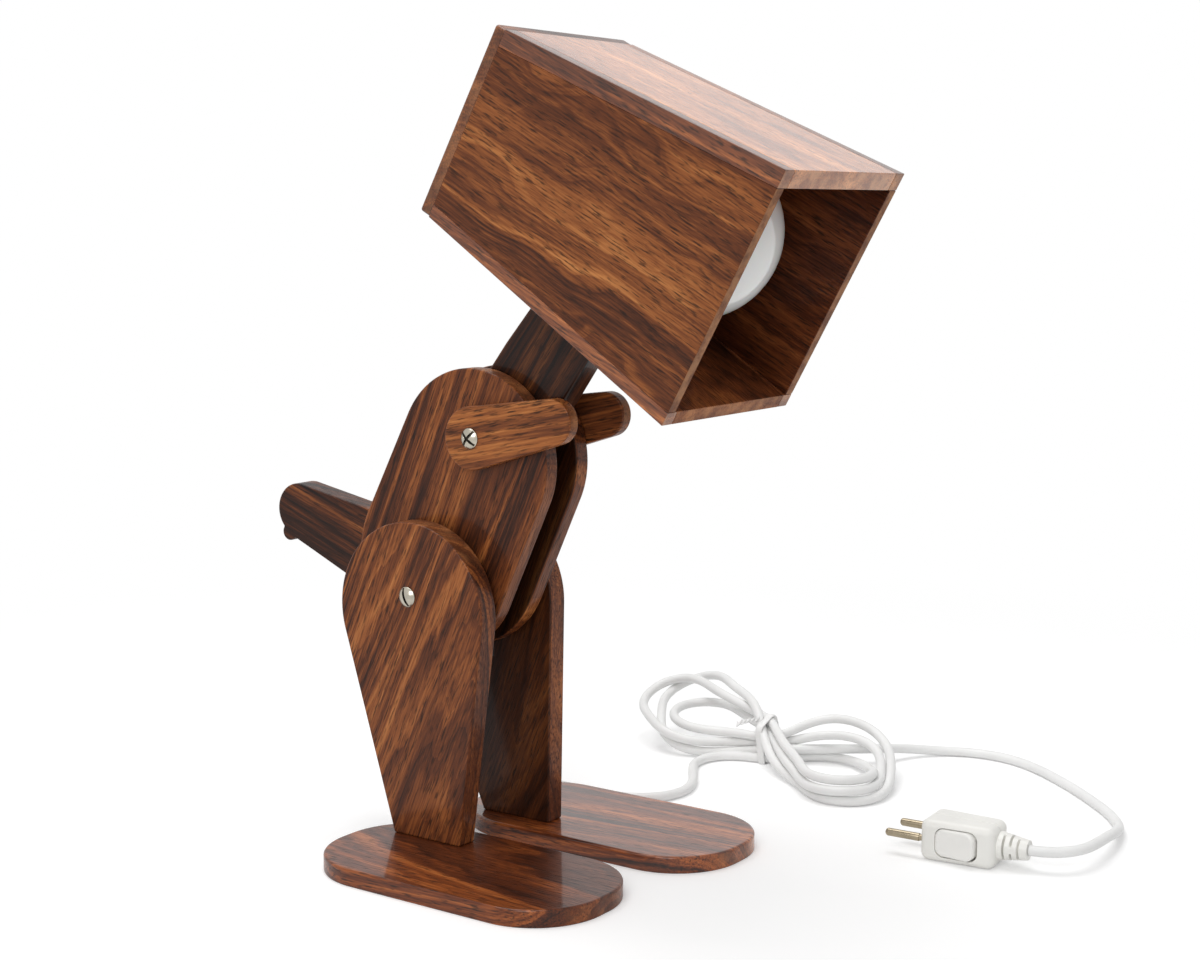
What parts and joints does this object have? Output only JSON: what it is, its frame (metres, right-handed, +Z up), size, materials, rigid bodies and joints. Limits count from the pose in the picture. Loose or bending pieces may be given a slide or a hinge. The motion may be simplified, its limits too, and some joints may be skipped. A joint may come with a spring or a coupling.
{
  "type": "wooden desk lamp",
  "caption": "Posable walnut desk lamp shaped like a two-legged, long-tailed creature with an open box head, globe bulb, white cord with a tied hank and a plug with a rocker switch.",
  "frame": {"origin": "on the floor, below the middle of the lamp's box without the free cord, hank and plug", "axes": "+Z up, the lamp looks towards -Y, +X is the creature's left, where the cord lies"},
  "size_m": [0.3796, 0.4005, 0.3988],
  "materials": {
    "walnut": "satin oiled",
    "edge_strip_wood": "satin oiled, end grain at the rim",
    "nickel": "nickel plated",
    "washer_steel": "plain",
    "dark_steel": "dark",
    "dark_plastic": "fine matte",
    "cord_sheath": "satin PVC",
    "tie_plastic": "satin",
    "plug_plastic": "satin moulded",
    "holder_plastic": "moulded",
    "contact_brass": "plain",
    "opal_glass": "opal",
    "bulb_plastic": "moulded",
    "bulb_cap_metal": "bright"
  },
  "bodies": {
    "torso": {"body_plate_right": "walnut", "body_plate_left": "walnut", "shoulder_bolt": "nickel", "shoulder_screw": "nickel", "hip_bolt": "nickel", "hip_screw": "nickel", "neck_washers": "washer_steel", "tail_washers": "washer_steel", "arm_washers": "washer_steel", "leg_spacers": "washer_steel", "cord_gland": "dark_plastic", "gland_sleeve": "dark_plastic", "body_lead": "cord_sheath", "cord_lamp_side": "cord_sheath", "cord_hank": "cord_sheath", "cord_tie": "tie_plastic", "cord_plug_side": "cord_sheath", "plug_strain_relief": "plug_plastic", "plug_shell_outer": "plug_plastic", "plug_shell_inner": "plug_plastic", "plug_pins": "nickel", "plug_contacts": "contact_brass"},
    "rocker": {"plug_rocker": "plug_plastic"},
    "neck": {"neck": "walnut", "neck_lead": "cord_sheath"},
    "head": {"head_top_panel": "walnut", "head_bottom_panel": "walnut", "head_right_panel": "walnut", "head_left_panel": "walnut", "head_back_panel": "walnut", "head_edge_strips": "edge_strip_wood", "head_cheek_right": "walnut", "head_cheek_left": "walnut", "head_washers": "washer_steel", "head_pivot_bolt": "nickel", "head_wing_nut": "nickel", "head_lead": "cord_sheath", "lamp_holder": "holder_plastic", "lamp_holder_contacts": "contact_brass", "lamp_holder_screws": "nickel", "bulb_globe": "opal_glass", "bulb_collar": "bulb_plastic", "bulb_cap": "bulb_cap_metal"},
    "arm_right": {"arm_right": "walnut"},
    "arm_left": {"arm_left": "walnut"},
    "leg_right": {"leg_right": "walnut", "foot_right": "walnut", "foot_screws_right": "dark_steel"},
    "leg_left": {"leg_left": "walnut", "foot_left": "walnut", "foot_screws_left": "dark_steel"},
    "tail": {"tail": "walnut"}
  },
  "joints": [
    {"name": "neck_tilt", "type": "hinge", "parent": "torso", "child": "neck", "pos_m": [0, 0.02109, 0.2089], "axis": [1, 0, 0], "range_deg": [-20, 15]},
    {"name": "head_tilt", "type": "hinge", "parent": "neck", "child": "head", "pos_m": [0, -0.04006, 0.28802], "axis": [1, 0, 0], "range_deg": [-15, 20]},
    {"name": "arm_right_swing", "type": "hinge", "parent": "torso", "child": "arm_right", "pos_m": [0, 0.02109, 0.2089], "axis": [1, 0, 0], "range_deg": [-180, 85]},
    {"name": "arm_left_swing", "type": "hinge", "parent": "torso", "child": "arm_left", "pos_m": [0, 0.02109, 0.2089], "axis": [1, 0, 0], "range_deg": [-180, 85]},
    {"name": "hip_right", "type": "hinge", "parent": "torso", "child": "leg_right", "pos_m": [0, 0.05414, 0.1295], "axis": [1, 0, 0], "range_deg": [-20, 20]},
    {"name": "hip_left", "type": "hinge", "parent": "torso", "child": "leg_left", "pos_m": [0, 0.05414, 0.1295], "axis": [1, 0, 0], "range_deg": [-20, 20]},
    {"name": "tail_tilt", "type": "hinge", "parent": "torso", "child": "tail", "pos_m": [0, 0.05414, 0.1295], "axis": [1, 0, 0], "range_deg": [-20, 25]},
    {"name": "plug_rocker_tip", "type": "hinge", "parent": "torso", "child": "rocker", "pos_m": [0.10904, -0.17655, 0.0105], "axis": [0, 0, 1], "range_deg": [0, 12]}
  ]
}
